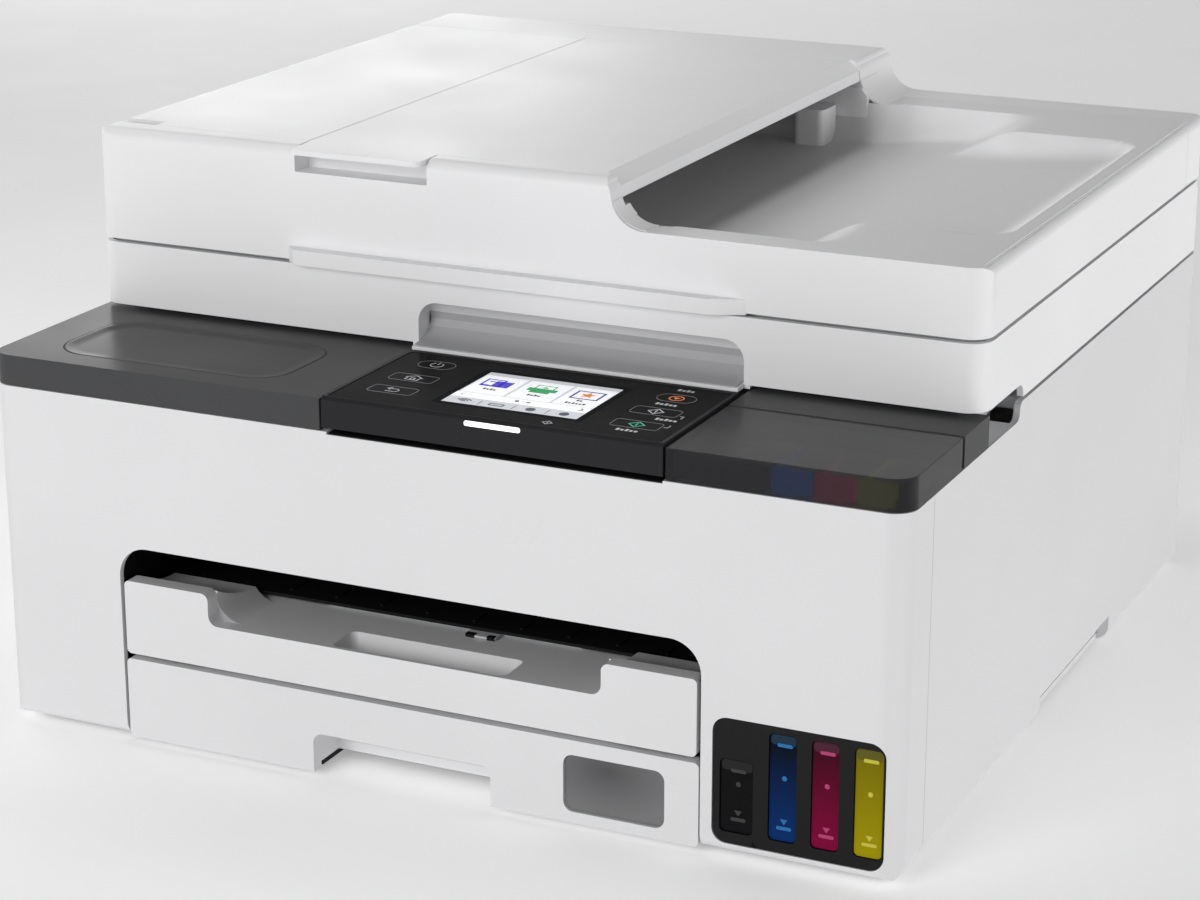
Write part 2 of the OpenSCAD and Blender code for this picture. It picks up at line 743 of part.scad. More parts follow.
module output_tray() {
    notch = concat([[-notch_r - 3, tray_top + eps]], arc([-notch_r - 3, tray_top - 3], 3, 90, 0),
        arc([4 - notch_r, deck_z + 4], 4, 180, 270), arc([notch_r - 4, deck_z + 4], 4, 270, 360),
        arc([notch_r + 3, tray_top - 3], 3, 180, 90), [[notch_r + 3, tray_top + eps]]);
    side = tray_hw - 2;
    back = -68;
    color(white) translate([tray_mid, 0, 0]) difference() {
        union() {
            along_y(-hd, -hd + 7) rr([-tray_hw, tray_low], [tray_hw, tray_top], 2);
            box([-side, -hd + 4, deck_z - 2.4], [side, back, deck_z]);
            box([-32, -hd + 4, 43], [45, -169.3, deck_z]);
            for (m = [0, 1]) mirror([m, 0, 0]) {
                box([side - 2, -hd + 4, tray_low + 0.6], [side, back, deck_z + 1.2]);
                tray_shoulder(m == 0 ? 4 : 10.6);
            }
        }
        along_y(-hd - eps, -hd + 7.1) polygon(notch);
        hull() {
            along_z(45, 46) rr([-27, 1.8 - hd], [40, -175.5], 3);
            along_z(deck_z, deck_z + eps) rr([-30, 1.8 - hd], [43, -171.3], 3);
        }
        for (m = [0, 1]) mirror([m, 0, 0]) {
            along_y(-hd + 2.5, -hd + 6.5) rr([88, tray_low - 5], [114, tray_top - 2.5], 2);
            box([notch_r + 5, -hd + 9, deck_z - 2.4 - eps], [side - 3, -160, deck_z + 3]);
        }
    }
}

module tray_extension() {
    color(pale) along_z(deck_z + 0.2, deck_z + 1.3) {
        rr([-63.5, -152.5], [49.5, -72], 4);
        rr([1, -159], [14, -145], 1.5);
    }
}

// Cassette

case_x = [-128, 108.6];
case_y = [-184.5, 118];
handle_x = [-47.8, 27.5];
handle_top = 19.3;
case_floor = 8;

module cassette_case() {
    pocket = [[-hd - eps, 0], [-hd - eps, handle_top], [-hd + 9, handle_top], [-hd + 19, handle_top - 10],
        [-hd + 19, 0]];
    color(white) difference() {
        union() {
            along_y(-hd, -hd + 5.6) rr([cassette_x[0], foot_h + 0.3], [cassette_x[1], cassette_top], 2);
            difference() {
                box([case_x[0], case_y[0], 5.6], [case_x[1], case_y[1], 34]);
                box([case_x[0] + 2, case_y[0] + 2, case_floor], [case_x[1] - 2, case_y[1] - 2, 40]);
            }
            box([handle_x[0] - 2.2, case_y[0], 5.6], [handle_x[1] + 2.2, -hd + 21.5, handle_top + 2.2]);
        }
        intersection() {
            along_x(handle_x[0], handle_x[1]) polygon(pocket);
            along_y(-hd - 2 * eps, -hd + 20) rr([handle_x[0], -20], [handle_x[1], handle_top], 4);
        }
        along_y(-hd - eps, -hd + 4) rr([57.3, 7.7], [97.7, 30.2], 4);
    }
}

module cassette_window() {
    color([0.45, 0.46, 0.48]) along_y(-hd + 1.2, -hd + 4) rr([57.4, 7.8], [97.6, 30.1], 3.9);
}

// Sliding paper guides that lie on the cassette's floor
module paper_guide(x0, x1, foot_x0, foot_x1) {
    color(dark) {
        box([x0, -70, case_floor + 0.3], [x1, 10, 31]);
        box([foot_x0, -40, case_floor + 0.3], [foot_x1, -20, case_floor + 1.8]);
    }
}

module paper_guide_left() {
    paper_guide(-112, -109, -109.5, -85);
}

module paper_guide_right() {
    paper_guide(90, 93, 66, 90.5);
}

module paper_guide_end() {
    color(dark) {
        box([-40, -160, case_floor + 0.3], [22, -157, 31]);
        box([-19, -157.5, case_floor + 0.3], [1, -130, case_floor + 1.8]);
    }
}

module lift_plate() {
    color(metal) {
        box([-72, 34, 9.5], [52, 112, 11]);
        rod_x([33.5, 10.2], 1.6, -72, 52);
    }
}

// Print engine

function involute(rb, t) = rb * [cos(t) + t * PI / 180 * sin(t), sin(t) - t * PI / 180 * cos(t)];
function turn(p, a) = [p[0] * cos(a) - p[1] * sin(a), p[0] * sin(a) + p[1] * cos(a)];

// Flat involute gear of module 1 with a 20 degree pressure angle
module gear_plan(teeth, phase) {
    pitch = teeth / 2;
    rb = pitch * cos(20);
    root = pitch - 1.25;
    tip = pitch + 0.92;
    t_tip = sqrt(pow(tip / rb, 2) - 1) * 180 / PI;
    t_low = root > rb ? sqrt(pow(root / rb, 2) - 1) * 180 / PI : 0;
    lean = tan(20) * 180 / PI - 20;
    half = 90 / teeth + lean - 0.07 * 180 / PI / pitch;
    flank = [for (i = [0:5]) involute(rb, t_low + (t_tip - t_low) * i / 5)];
    up = [for (p = flank) turn(p, -half)];
    down = [for (i = [5:-1:0]) [up[i][0], -up[i][1]]];
    foot = turn([root, 0], -half - 0.4);
    polygon([for (k = [0:teeth - 1]) each [for (p = concat([foot], up, down, [[foot[0], -foot[1]]]))
        turn(p, phase + 360 * k / teeth)]]);
}

// Sheet metal frame with the carriage's guide rail as a separate rod
module main_chassis() {
    color(metal) difference() {
        union() {
            box([chassis_x[0], 95.5, 56], [chassis_x[1], 97, 137]);
            for (x = [chassis_x[0], chassis_x[1] - 1.5]) box([x, -32, 50], [x + 1.5, 95.5, 137]);
            box([chassis_x[0] + 1.5, -8, 64], [44, 68, 67]);
            for (x = pick_arm_x) along_x(x, x + 2) {
                polygon([[52, 66], [68, 66], [86, 48], [85, 39], [75, 39]]);
            }
        }
        rod_x(pick_pos, 3 + run, pick_arm_x[0] - eps, pick_arm_x[1] + 3);
        rod_x(feed_pos, 4 + run, chassis_x[0] - eps, chassis_x[1] + eps);
        rod_x(exit_pos, 3 + run, chassis_x[0] - eps, chassis_x[1] + eps);
        rod_y([pulley_x[0], belt_z], 3, 94, 98);
    }
    color(metal) rod_x(rail_pos, rail_r, chassis_x[0] + 1.55, chassis_x[1] - 1.55);
}

module carriage() {
    color(black) difference() {
        union() {
            box([44, 8, 82], [112, 66, 128]);
            box([50, 12, 72], [106, 60, 82]);
            box([66, 66, 108], [90, belt_y[0] - 0.6, 128]);
            box([66, 66, belt_z + pulley_r + 1.5], [90, belt_y[1] + 3, 128]);
        }
        rod_x(rail_pos, rail_r + run, 43, 113);
        for (x = [48:16:96]) box([x, 12, 122], [x + 12, 32, 129]);
    }
}

module belt_loop(grow) {
    r = pulley_r + grow;
    rr([pulley_x[0] - r, belt_z - r], [pulley_x[1] + r, belt_z + r], r - 0.01);
}

module carriage_belt() {
    color(rubber) difference() {
        along_y(belt_y[0], belt_y[1]) belt_loop(1.1);
        along_y(belt_y[0] - eps, belt_y[1] + eps) belt_loop(0.1);
    }
}

module pulley(x) {
    color(pale) difference() {
        rod_y([x, belt_z], pulley_r, belt_y[0] - 0.6, belt_y[1] + 0.6);
        rod_y([x, belt_z], 1.5 + run, belt_y[0] - 2, belt_y[1] + 2);
        for (a = [0:60:300]) {
            rod_y([x + 4 * cos(a), belt_z + 4 * sin(a)], 0.8, belt_y[0] - 2, belt_y[1] + 2);
        }
    }
}

module drive_pulley() {
    pulley(pulley_x[0]);
}

module idler_pulley() {
    pulley(pulley_x[1]);
}

module feed_roller() {
    color(rubber) {
        for (x = [-140:42:80]) rod_x(feed_pos, feed_r, x, x + 32);
        rod_x(feed_pos, 4, gear_x[0] - 2, chassis_x[1] + 2);
    }
    color(white) along_x(gear_x[0], gear_x[1]) translate(feed_pos) difference() {
        gear_plan(gear_teeth, 0);
        circle(3.9);
    }
}

module feed_pinion() {
    mesh = atan2(feed_pos[1] - pinion_pos[1], feed_pos[0] - pinion_pos[0]);
    phase = mesh + 180 / pinion_teeth + (mesh + 180) * gear_teeth / pinion_teeth;
    color(white) along_x(gear_x[0], gear_x[1]) translate(pinion_pos) difference() {
        gear_plan(pinion_teeth, phase);
        circle(1.5 + run);
    }
}

// Carriage motor behind the chassis and feed motor on its left
module drive_motors() {
    color(metal) {
        rod_y([pulley_x[0], belt_z], 14, 97, 122);
        rod_y([pulley_x[0], belt_z], 1.5, 76, 97.5);
        rod_x(pinion_pos, 15, -182, -166);
        rod_x(pinion_pos, 1.5, -166.5, gear_x[1] + 1);
        rod_y([pulley_x[1], belt_z], 1.5, 76, 95.5);
    }
}

module output_roller() {
    color(rubber) {
        for (x = [-120:52:88]) rod_x(exit_pos, exit_r, x, x + 14);
        rod_x(exit_pos, 3, chassis_x[0] - 2, chassis_x[1] + 2);
    }
}

module pick_roller() {
    color(rubber) {
        for (x = [-25, 5]) rod_x(pick_pos, 9, x, x + 15);
        rod_x(pick_pos, 3, pick_arm_x[0] - 1, pick_arm_x[1] + 3);
    }
}

// Cleaning unit under the carriage's home position
module service_station() {
    color(dark) difference() {
        union() {
            box([48, 6, 40], [112, 68, 66]);
            for (x = [54, 82]) along_z(65, 70.5) rr([x, 16], [x + 20, 56], 3);
        }
        for (x = [54, 82]) along_z(68, 72) rr([x + 2, 18], [x + 18, 54], 2);
    }
}

// Power supply, inlet socket, control board and its network and USB sockets, as separate solids
module electronics() {
    color(metal) box([-176, -100, 8], [-142, 60, 48]);
    color(black) difference() {
        box([-164, 172, 18], [-139, hd - 0.5, 38]);
        along_y(hd - 14, hd) rr([-160.5, 22], [-142.5, 34], 3);
    }
    color(metal) for (x = [-156, -147]) rod_y([x, 28], 1, hd - 15, hd - 5);
    color([0.1, 0.35, 0.2]) box([148, -80, 64], [176, 176, 65.6]);
    color(metal) {
        difference() {
            box([130, 168, 60], [146, hd - 0.5, 74]);
            box([132, 176, 62], [144, hd, 71]);
        }
        box([144, 168, 62], [148.5, 174, 65.6]);
        difference() {
            box([152, 170, 65.6], [164, hd - 0.5, 72]);
            box([154, 176, 67], [162, hd, 71]);
        }
    }
    color(black) for (y = [-60:50:140]) box([152, y, 65.6], [170, y + 18, 69]);
}

base_frame();
feet();
front_cover();
left_side_cover();
right_side_cover();
rear_cover();
rear_access_cover();
left_top_cover();
ink_cover();
ink_bay_trim();
top_frame();
paper_exit_frame();
ink_window();
ink_tank_black();
ink_tank_cyan();
ink_tank_magenta();
ink_tank_yellow();
ink_tank_caps();
panel_housing();
panel_face();
panel_screen();
power_button();
home_button();
back_button();
stop_button();
start_black_button();
start_colour_button();
scanner_case();
scanner_bezel();
scanner_glass();
scan_carriage();
scan_drive();
lid_base();
lid_pad();
feeder_cover();
document_tray();
document_guide_front();
document_guide_back();
feeder_roller();
feeder_pick_roller();
output_tray();
tray_extension();
cassette_case();
cassette_window();
paper_guide_left();
paper_guide_right();
paper_guide_end();
lift_plate();
main_chassis();
carriage();
carriage_belt();
drive_pulley();
idler_pulley();
feed_roller();
feed_pinion();
drive_motors();
output_roller();
pick_roller();
service_station();
electronics();
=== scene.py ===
import json
import math

import bmesh
import bpy
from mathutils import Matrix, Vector


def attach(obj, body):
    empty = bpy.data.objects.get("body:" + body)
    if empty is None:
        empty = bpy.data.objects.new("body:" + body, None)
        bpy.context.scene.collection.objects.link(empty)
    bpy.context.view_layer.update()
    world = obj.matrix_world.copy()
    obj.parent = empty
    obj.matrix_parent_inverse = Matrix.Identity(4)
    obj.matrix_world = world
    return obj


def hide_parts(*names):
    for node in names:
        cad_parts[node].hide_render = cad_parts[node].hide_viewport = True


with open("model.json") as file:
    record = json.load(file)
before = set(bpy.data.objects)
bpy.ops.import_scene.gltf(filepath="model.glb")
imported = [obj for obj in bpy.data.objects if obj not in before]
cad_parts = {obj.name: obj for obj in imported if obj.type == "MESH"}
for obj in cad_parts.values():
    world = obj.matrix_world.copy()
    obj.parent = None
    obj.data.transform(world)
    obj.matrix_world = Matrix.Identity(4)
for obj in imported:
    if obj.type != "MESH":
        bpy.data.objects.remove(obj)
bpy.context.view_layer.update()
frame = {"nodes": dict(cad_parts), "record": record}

MM = 0.001
NODES = frame["nodes"]
BODIES = frame["record"]["behaviour"]["bodies"]
BODY_OF = {node: body for body, nodes in BODIES.items() for node in nodes}
SLOT_OF = {row["node"]: row["material_slot"] for row in frame["record"]["subparts"]}


# ---------------------------------------------------------------- kinds of material

MOTTLE_SPAN = (0.35, 0.65)      # parts of the noise's range that a change is spread over
GLOSS_SPAN = (0.3, 0.7)


def shader_of(mat):
    return mat.node_tree.nodes["Principled BSDF"]


def make_material(name, colour, roughness, **sockets):
    """A Principled material; sockets are inputs of the shader by name."""
    mat = bpy.data.materials.new(name)
    mat.use_nodes = True
    shader = shader_of(mat)
    shader.inputs["Base Color"].default_value = (*colour, 1.0)
    shader.inputs["Roughness"].default_value = roughness
    for key, value in sockets.items():
        shader.inputs[key.replace("_", " ")].default_value = value
    return mat


def add_node(mat, kind, **inputs):
    node = mat.node_tree.nodes.new(kind)
    for key, value in inputs.items():
        node.inputs[key].default_value = value
    return node


def noise(mat, scale, detail=3.0):
    """Noise laid out in the piece's own coordinates."""
    coords = add_node(mat, "ShaderNodeTexCoord")
    texture = add_node(mat, "ShaderNodeTexNoise", Scale=scale, Detail=detail)
    mat.node_tree.links.new(coords.outputs["Object"], texture.inputs["Vector"])
    return texture.outputs["Fac"]


def map_range(mat, value, span, target=(0.0, 1.0), interpolation="LINEAR"):
    """Carries a value over from one span to another."""
    node = add_node(mat, "ShaderNodeMapRange")
    node.interpolation_type = interpolation
    for socket, number in zip(("From Min", "From Max", "To Min", "To Max"), (*span, *target)):
        node.inputs[socket].default_value = number
    mat.node_tree.links.new(value, node.inputs["Value"])
    return node.outputs["Result"]


def vary_colour(mat, colour, amount, scale):
    """Mottles the base colour by a few percent."""
    ramp = add_node(mat, "ShaderNodeValToRGB")
    ramp.color_ramp.elements[0].position = MOTTLE_SPAN[0]
    ramp.color_ramp.elements[1].position = MOTTLE_SPAN[1]
    for element, gain in zip(ramp.color_ramp.elements, (1 - amount, 1 + amount)):
        element.color = (*[min(1.0, c * gain) for c in colour], 1.0)
    links = mat.node_tree.links
    links.new(noise(mat, scale), ramp.inputs["Fac"])
    links.new(ramp.outputs["Color"], shader_of(mat).inputs["Base Color"])


def vary_roughness(mat, low, high, scale):
    uneven = map_range(mat, noise(mat, scale), GLOSS_SPAN, (low, high))
    mat.node_tree.links.new(uneven, shader_of(mat).inputs["Roughness"])


def grain(mat, scale, strength, depth=0.05):
    """Moulded surface texture; depth is in millimetres."""
    bump = add_node(mat, "ShaderNodeBump", Strength=strength, Distance=depth * MM)
    links = mat.node_tree.links
    links.new(noise(mat, scale, 2.0), bump.inputs["Height"])
    links.new(bump.outputs["Normal"], shader_of(mat).inputs["Normal"])


def own_axis(mat, axis):
    """The piece's own coordinate along X, Y or Z."""
    coords = add_node(mat, "ShaderNodeTexCoord")
    split = add_node(mat, "ShaderNodeSeparateXYZ")
    mat.node_tree.links.new(coords.outputs["Object"], split.inputs["Vector"])
    return split.outputs[axis]


def shade_across(mat, value, span, low_colour, high_colour, interpolation="LINEAR"):
    """Takes the base colour from one to the other while the value goes through the span."""
    ramp = add_node(mat, "ShaderNodeValToRGB")
    for element, colour in zip(ramp.color_ramp.elements, (low_colour, high_colour)):
        element.color = (*colour, 1.0)
    links = mat.node_tree.links
    links.new(map_range(mat, value, span, interpolation=interpolation), ramp.inputs["Fac"])
    links.new(ramp.outputs["Color"], shader_of(mat).inputs["Base Color"])


def textured_plastic(name, colour, roughness, strength=0.25, **sockets):
    """Satin plastic from an etched mould: fine grain, faint mottling and uneven gloss."""
    mat = make_material(name, colour, roughness, **sockets)
    vary_colour(mat, colour, 0.02, 7.0)
    vary_roughness(mat, roughness - 0.04, roughness + 0.05, 16.0)
    grain(mat, 2600.0, strength)
    return mat


def smooth_plastic(name, colour, roughness, **sockets):
    """Polished plastic with the faint orange peel of a moulded part."""
    mat = make_material(name, colour, roughness, **sockets)
    vary_colour(mat, colour, 0.04, 11.0)
    vary_roughness(mat, roughness, roughness + 0.06, 30.0)
    grain(mat, 260.0, 0.06, 0.08)
    return mat


def brushed_metal(name, colour):
    mat = make_material(name, colour, 0.35, Metallic=1.0)
    vary_roughness(mat, 0.28, 0.45, 60.0)
    grain(mat, 900.0, 0.2)
    return mat


def rubber_material(name, colour):
    mat = make_material(name, colour, 0.8)
    vary_colour(mat, colour, 0.1, 40.0)
    grain(mat, 1500.0, 0.5)
    return mat


def lit_material(name, colour, strength):
    """A surface that glows by itself, with a faint unevenness in its own reflection."""
    mat = make_material(name, colour, 0.2)
    shader = shader_of(mat)
    shader.inputs["Emission Color"].default_value = (*colour, 1.0)
    shader.inputs["Emission Strength"].default_value = strength
    vary_roughness(mat, 0.15, 0.25, 40.0)
    return mat


INK_LIGHT_Z = (14 * MM, 47 * MM)      # height over which painted light and shade change the ink's colour
SHADE_SPOT = (74.5 * MM, 26 * MM, 30 * MM)   # X and Z of the darkest spot of the window's painted shade, and its reach
SHADE_SQUASH = 1.6               # the spot of painted shade is this much wider than high
WHITE = (0.90, 0.90, 0.91)
INSERT_WHITE = (0.88, 0.88, 0.89)
INSERT_SHADE = (0.58, 0.58, 0.585)
INSERT_SHADE_X = (10 * MM, 80 * MM)


def ink_material(name, low_colour, high_colour):
    """Ink behind a clear tank wall, with painted light and shade: it looks lighter towards the bottom of the
    level window.
    """
    mat = smooth_plastic(name, low_colour, 0.16, Specular_IOR_Level=0.08)
    shade_across(mat, own_axis(mat, "Z"), INK_LIGHT_Z, low_colour, high_colour)
    return mat


def window_material(name):
    """Smoky window over the paper, with painted light and shade: dark at one spot and lighter around it, as
    in the photo.
    """
    mat = smooth_plastic(name, (0.11, 0.11, 0.11), 0.18, Specular_IOR_Level=0.2)
    x, z, reach = SHADE_SPOT
    coords = add_node(mat, "ShaderNodeTexCoord")
    shade = add_node(mat, "ShaderNodeMapping", Location=(-x, 0.0, -z * SHADE_SQUASH),
                     Scale=(1.0, 0.0, SHADE_SQUASH))
    tone = add_node(mat, "ShaderNodeTexGradient")
    tone.gradient_type = "SPHERICAL"
    links = mat.node_tree.links
    links.new(coords.outputs["Object"], shade.inputs["Vector"])
    links.new(shade.outputs["Vector"], tone.inputs["Vector"])
    shade_across(mat, tone.outputs["Color"], (1.0 - reach, 1.0), (0.19, 0.19, 0.195),
                 (0.085, 0.085, 0.088))
    return mat


def dish_material(name):
    """White moulding that is darker at its left end, for the shade under the document tray."""
    mat = textured_plastic(name, INSERT_WHITE, 0.42, Specular_IOR_Level=0.35)
    shade_across(mat, own_axis(mat, "X"), INSERT_SHADE_X, INSERT_SHADE, INSERT_WHITE, "SMOOTHSTEP")
    return mat


# ---------------------------------------------------------------- materials of the record's slots

MATERIALS = {
    "white_plastic": textured_plastic("white_plastic", WHITE, 0.42, Specular_IOR_Level=0.35),
    "pale_plastic": textured_plastic("pale_plastic", (0.60, 0.61, 0.62), 0.45),
    "dark_cover": textured_plastic("dark_cover", (0.070, 0.071, 0.073), 0.32, 0.12,
                                   Specular_IOR_Level=0.05),
    "smoked_plastic": smooth_plastic("smoked_plastic", (0.010, 0.010, 0.012), 0.18, Alpha=0.74,
                                     Specular_IOR_Level=0.35),
    "panel_gloss": smooth_plastic("panel_gloss", (0.012, 0.012, 0.013), 0.2,
                                  Specular_IOR_Level=0.01),
    "screen": lit_material("screen", (0.86, 0.93, 1.0), 0.45),
    "button_black": textured_plastic("button_black", (0.012, 0.012, 0.013), 0.22, 0.05,
                                     Specular_IOR_Level=0.01),
    "black_plastic": textured_plastic("black_plastic", (0.012, 0.012, 0.012), 0.55,
                                      Specular_IOR_Level=0.1),
    "rubber": rubber_material("rubber", (0.03, 0.03, 0.03)),
    "ink_black": ink_material("ink_black", (0.004, 0.004, 0.005), (0.003, 0.003, 0.003)),
    "ink_cyan": ink_material("ink_cyan", (0.0, 0.027, 0.14), (0.0, 0.003, 0.012)),
    "ink_magenta": ink_material("ink_magenta", (0.21, 0.0, 0.038), (0.055, 0.0, 0.011)),
    "ink_yellow": ink_material("ink_yellow", (0.35, 0.29, 0.0), (0.20, 0.165, 0.0)),
    "cap_plastic": textured_plastic("cap_plastic", (0.2, 0.2, 0.22), 0.4),
    "glass": smooth_plastic("glass", (0.75, 0.82, 0.82), 0.05, Transmission_Weight=0.9),
    "foam_sheet": textured_plastic("foam_sheet", (0.82, 0.82, 0.82), 0.8, 0.6),
    "window_grey": window_material("window_grey"),
    "zinc_steel": brushed_metal("zinc_steel", (0.6, 0.61, 0.62)),
    "gear_plastic": textured_plastic("gear_plastic", (0.7, 0.7, 0.66), 0.45),
}

# Finishes of single pieces within a slot, among them a darker copy of the white plastic that is painted
# shade
# Darker copy of the white plastic for the lower covers: painted shade that evens their tone with the lid and
# scanner
SHADED_BODY_WHITE = textured_plastic("shaded_body_white", (0.75, 0.75, 0.76), 0.42, Specular_IOR_Level=0.35)
WINDOW_BLACK = smooth_plastic("window_black", (0.012, 0.012, 0.013), 0.2, Specular_IOR_Level=0.12)
DARK_HOUSING = textured_plastic("dark_housing", (0.026, 0.026, 0.028), 0.32, 0.12,
                                Specular_IOR_Level=0.05)
# Grey of the hand recess's lining and of the tray's filler: painted shade
RECESS_SHADE_GREY = textured_plastic("recess_shade_grey", (0.44, 0.44, 0.45), 0.5, Specular_IOR_Level=0.2)
BEZEL_BLACK = smooth_plastic("bezel_black", (0.004, 0.004, 0.005), 0.3, Specular_IOR_Level=0.01)
LEGEND_GREY = textured_plastic("legend_grey", (0.75, 0.76, 0.77), 0.5, 0.05)
KEY_LINE = textured_plastic("key_line", (0.24, 0.24, 0.25), 0.4, 0.05)
ORANGE = lit_material("orange", (0.75, 0.20, 0.05), 0.35)
GREEN = lit_material("green", (0.0, 0.42, 0.22), 0.35)
WHITE_LIGHT = lit_material("white_light", (1.0, 1.0, 1.0), 1.2)
CAPS = {                        # painted light: the coloured caps glow, though they are no lamps, to show through the smoked cover
    "black": textured_plastic("cap_black", (0.02, 0.02, 0.022), 0.4),
    "cyan": lit_material("cap_cyan", (0.01, 0.16, 0.75), 0.6),
    "magenta": lit_material("cap_magenta", (0.75, 0.02, 0.16), 0.5),
    "yellow": lit_material("cap_yellow", (0.62, 0.62, 0.02), 0.27),
}


def paint(obj, mat):
    obj.data.materials.clear()
    obj.data.materials.append(mat)


for node, obj in NODES.items():
    paint(obj, MATERIALS[SLOT_OF[node]])
paint(NODES["ink_window"], WINDOW_BLACK)
# The lower covers take the darker copy of the white plastic: painted shade
for node in ("front_cover", "left_side_cover", "right_side_cover", "output_tray", "cassette_case"):
    paint(NODES[node], SHADED_BODY_WHITE)
paint(NODES["panel_housing"], DARK_HOUSING)


# ---------------------------------------------------------------- mesh helpers, in millimetres

def on_top(u, v, height):
    """Places a flat drawing on a level face."""
    return Vector((u, v, height)) * MM


def on_front(u, v, depth):
    """Places a flat drawing on a face that looks to the front; depth is its Y."""
    return Vector((u, depth, v)) * MM


def bridge(bm, lower, upper):
    """Joins two rings of as many points with a band of faces."""
    for i in range(len(lower)):
        j = (i + 1) % len(lower)
        bm.faces.new((lower[i], lower[j], upper[j], upper[i]))


def prism(bm, outline, low, high, place=on_top):
    """A solid between two copies of the outline, set at low and high."""
    rings = [[bm.verts.new(place(u, v, h)) for u, v in outline] for h in (low, high)]
    bm.faces.new(rings[0][::-1])
    bm.faces.new(rings[1])
    bridge(bm, *rings)


def ribbon(bm, points, width, low, high, place=on_top, closed=False):
    """A flat line of even width along the points."""
    count = len(points)
    rows = []
    for i, point in enumerate(points):
        before = points[(i - 1) % count] if closed or i else point
        after = points[(i + 1) % count] if closed or i < count - 1 else point
        along_in = (Vector(point) - Vector(before)).normalized()
        along_out = (Vector(after) - Vector(point)).normalized()
        along = (along_in + along_out).normalized()
        side = Vector((-along.y, along.x))
        lean = max(0.4, abs(along.dot(along_out if along_out.length else along_in)))
        offset = side * width / 2 / lean
        rows.append([bm.verts.new(place(point[0] + s * offset.x, point[1] + s * offset.y, h))
                     for s, h in ((-1, low), (1, low), (1, high), (-1, high))])
    steps = count if closed else count - 1
    for i in range(steps):
        a, b = rows[i], rows[(i + 1) % count]
        for k in range(4):
            bm.faces.new((a[k], a[(k + 1) % 4], b[(k + 1) % 4], b[k]))
    if not closed:
        bm.faces.new(rows[0])
        bm.faces.new(rows[-1][::-1])


def arc_points(centre, radius, start, end, count=24):
    turns = [math.radians(start + (end - start) * i / count) for i in range(count + 1)]
    return [(centre[0] + radius * math.cos(t), centre[1] + radius * math.sin(t)) for t in turns]


def rectangle(low, high):
    return [(low[0], low[1]), (high[0], low[1]), (high[0], high[1]), (low[0], high[1])]


def rounded(low, high, radius, count=6):
    """Outline of a rectangle with round corners."""
    corners = (((high[0], high[1]), 0), ((low[0], high[1]), 90), ((low[0], low[1]), 180),
               ((high[0], low[1]), 270))
    points = []
    for (x, y), start in corners:
        centre = (x - radius if x == high[0] else x + radius,
                  y - radius if y == high[1] else y + radius)
        points += arc_points(centre, radius, start, start + 90, count)
    return points


def make_piece(name, bm, mat, body):
    bmesh.ops.recalc_face_normals(bm, faces=bm.faces)
    mesh = bpy.data.meshes.new(name)
    bm.to_mesh(mesh)
    bm.free()
    obj = bpy.data.objects.new(name, mesh)
    bpy.context.scene.collection.objects.link(obj)
    paint(obj, mat)
    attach(obj, body)
    return obj


# ---------------------------------------------------------------- moulded edges

WELD = 0.002 * MM               # points closer than this become one
COPLANAR = math.radians(0.5)    # faces within this angle of each other become one


def bevel_edges(obj, width, segments, angle, weight):
    """Rounds the edges sharper than the angle in degrees; width is in millimetres."""
    bevel = obj.modifiers.new("bevel", "BEVEL")
    bevel.width = width * MM
    bevel.segments = segments
    bevel.limit_method = "ANGLE"
    bevel.angle_limit = math.radians(angle)
    obj.modifiers.new("normals", "WEIGHTED_NORMAL").weight = weight


def soften(obj, width, segments=2, merge_flats=True):
    """Rounds the edges as a mould does; width is in millimetres."""
    obj.data.shade_smooth()
    weld = obj.modifiers.new("weld", "WELD")
    weld.merge_threshold = WELD
    if merge_flats:
        flats = obj.modifiers.new("flats", "DECIMATE")
        flats.decimate_type = "DISSOLVE"
        flats.angle_limit = COPLANAR
    bevel_edges(obj, width, segments, 32, 60)


EDGE_RADIUS = {
    0.7: ("front_cover", "left_side_cover", "right_side_cover", "scanner_case", "feeder_cover",
          "document_tray"),
    1.0: ("output_tray",),
    0.5: ("left_top_cover", "panel_housing", "rear_cover", "rear_access_cover", "tray_extension",
          "ink_window"),
    0.25: ("ink_cover", "ink_bay_trim"),
    0.2: ("panel_face", "power_button", "home_button", "back_button", "stop_button",
          "start_black_button", "start_colour_button"),
}
# With its flat faces merged, the handle of the cassette comes out black
soften(NODES["cassette_case"], 1.0, 3, merge_flats=False)
for radius, nodes in EDGE_RADIUS.items():
    for node in nodes:
        soften(NODES[node], radius, 3 if radius > 0.6 else 2)


# ---------------------------------------------------------------- lid: the shell around its dish

RIM = 207.4             # height of the lid's rim
SKIN = 0.25             # how far the dish insert stands above the rim
INSERT_X = (54.0, 183.4)
INSERT_Y = (-111.2, 171.0)
ARM_Y = (-103.4, 150.0)     # inner faces of the arms that rise to the feeder
CURVE_X, CURVE_Z, CURVE_R = 54.0, 221.0, 13.6       # the arms' inner curve
CURVE_END = 180 + 14.8      # angle at which that curve meets the feeder


def block(bm, low, high):
    prism(bm, rectangle(low, high), low[2], high[2])


def cut(obj, cutter_bm):
    """Cuts the cutter's volume out of obj's mesh."""
    bmesh.ops.recalc_face_normals(cutter_bm, faces=cutter_bm.faces)
    mesh = bpy.data.meshes.new("cutter")
    cutter_bm.to_mesh(mesh)
    cutter_bm.free()
    cutter = bpy.data.objects.new("cutter", mesh)
    bpy.context.scene.collection.objects.link(cutter)
    modifier = obj.modifiers.new("cut", "BOOLEAN")
    modifier.operation = "DIFFERENCE"
    modifier.solver = "EXACT"
    modifier.object = cutter
    bpy.context.view_layer.update()
    evaluated = obj.evaluated_get(bpy.context.evaluated_depsgraph_get())
    obj.data = bpy.data.meshes.new_from_object(evaluated)
    obj.modifiers.clear()
    bpy.data.objects.remove(cutter)


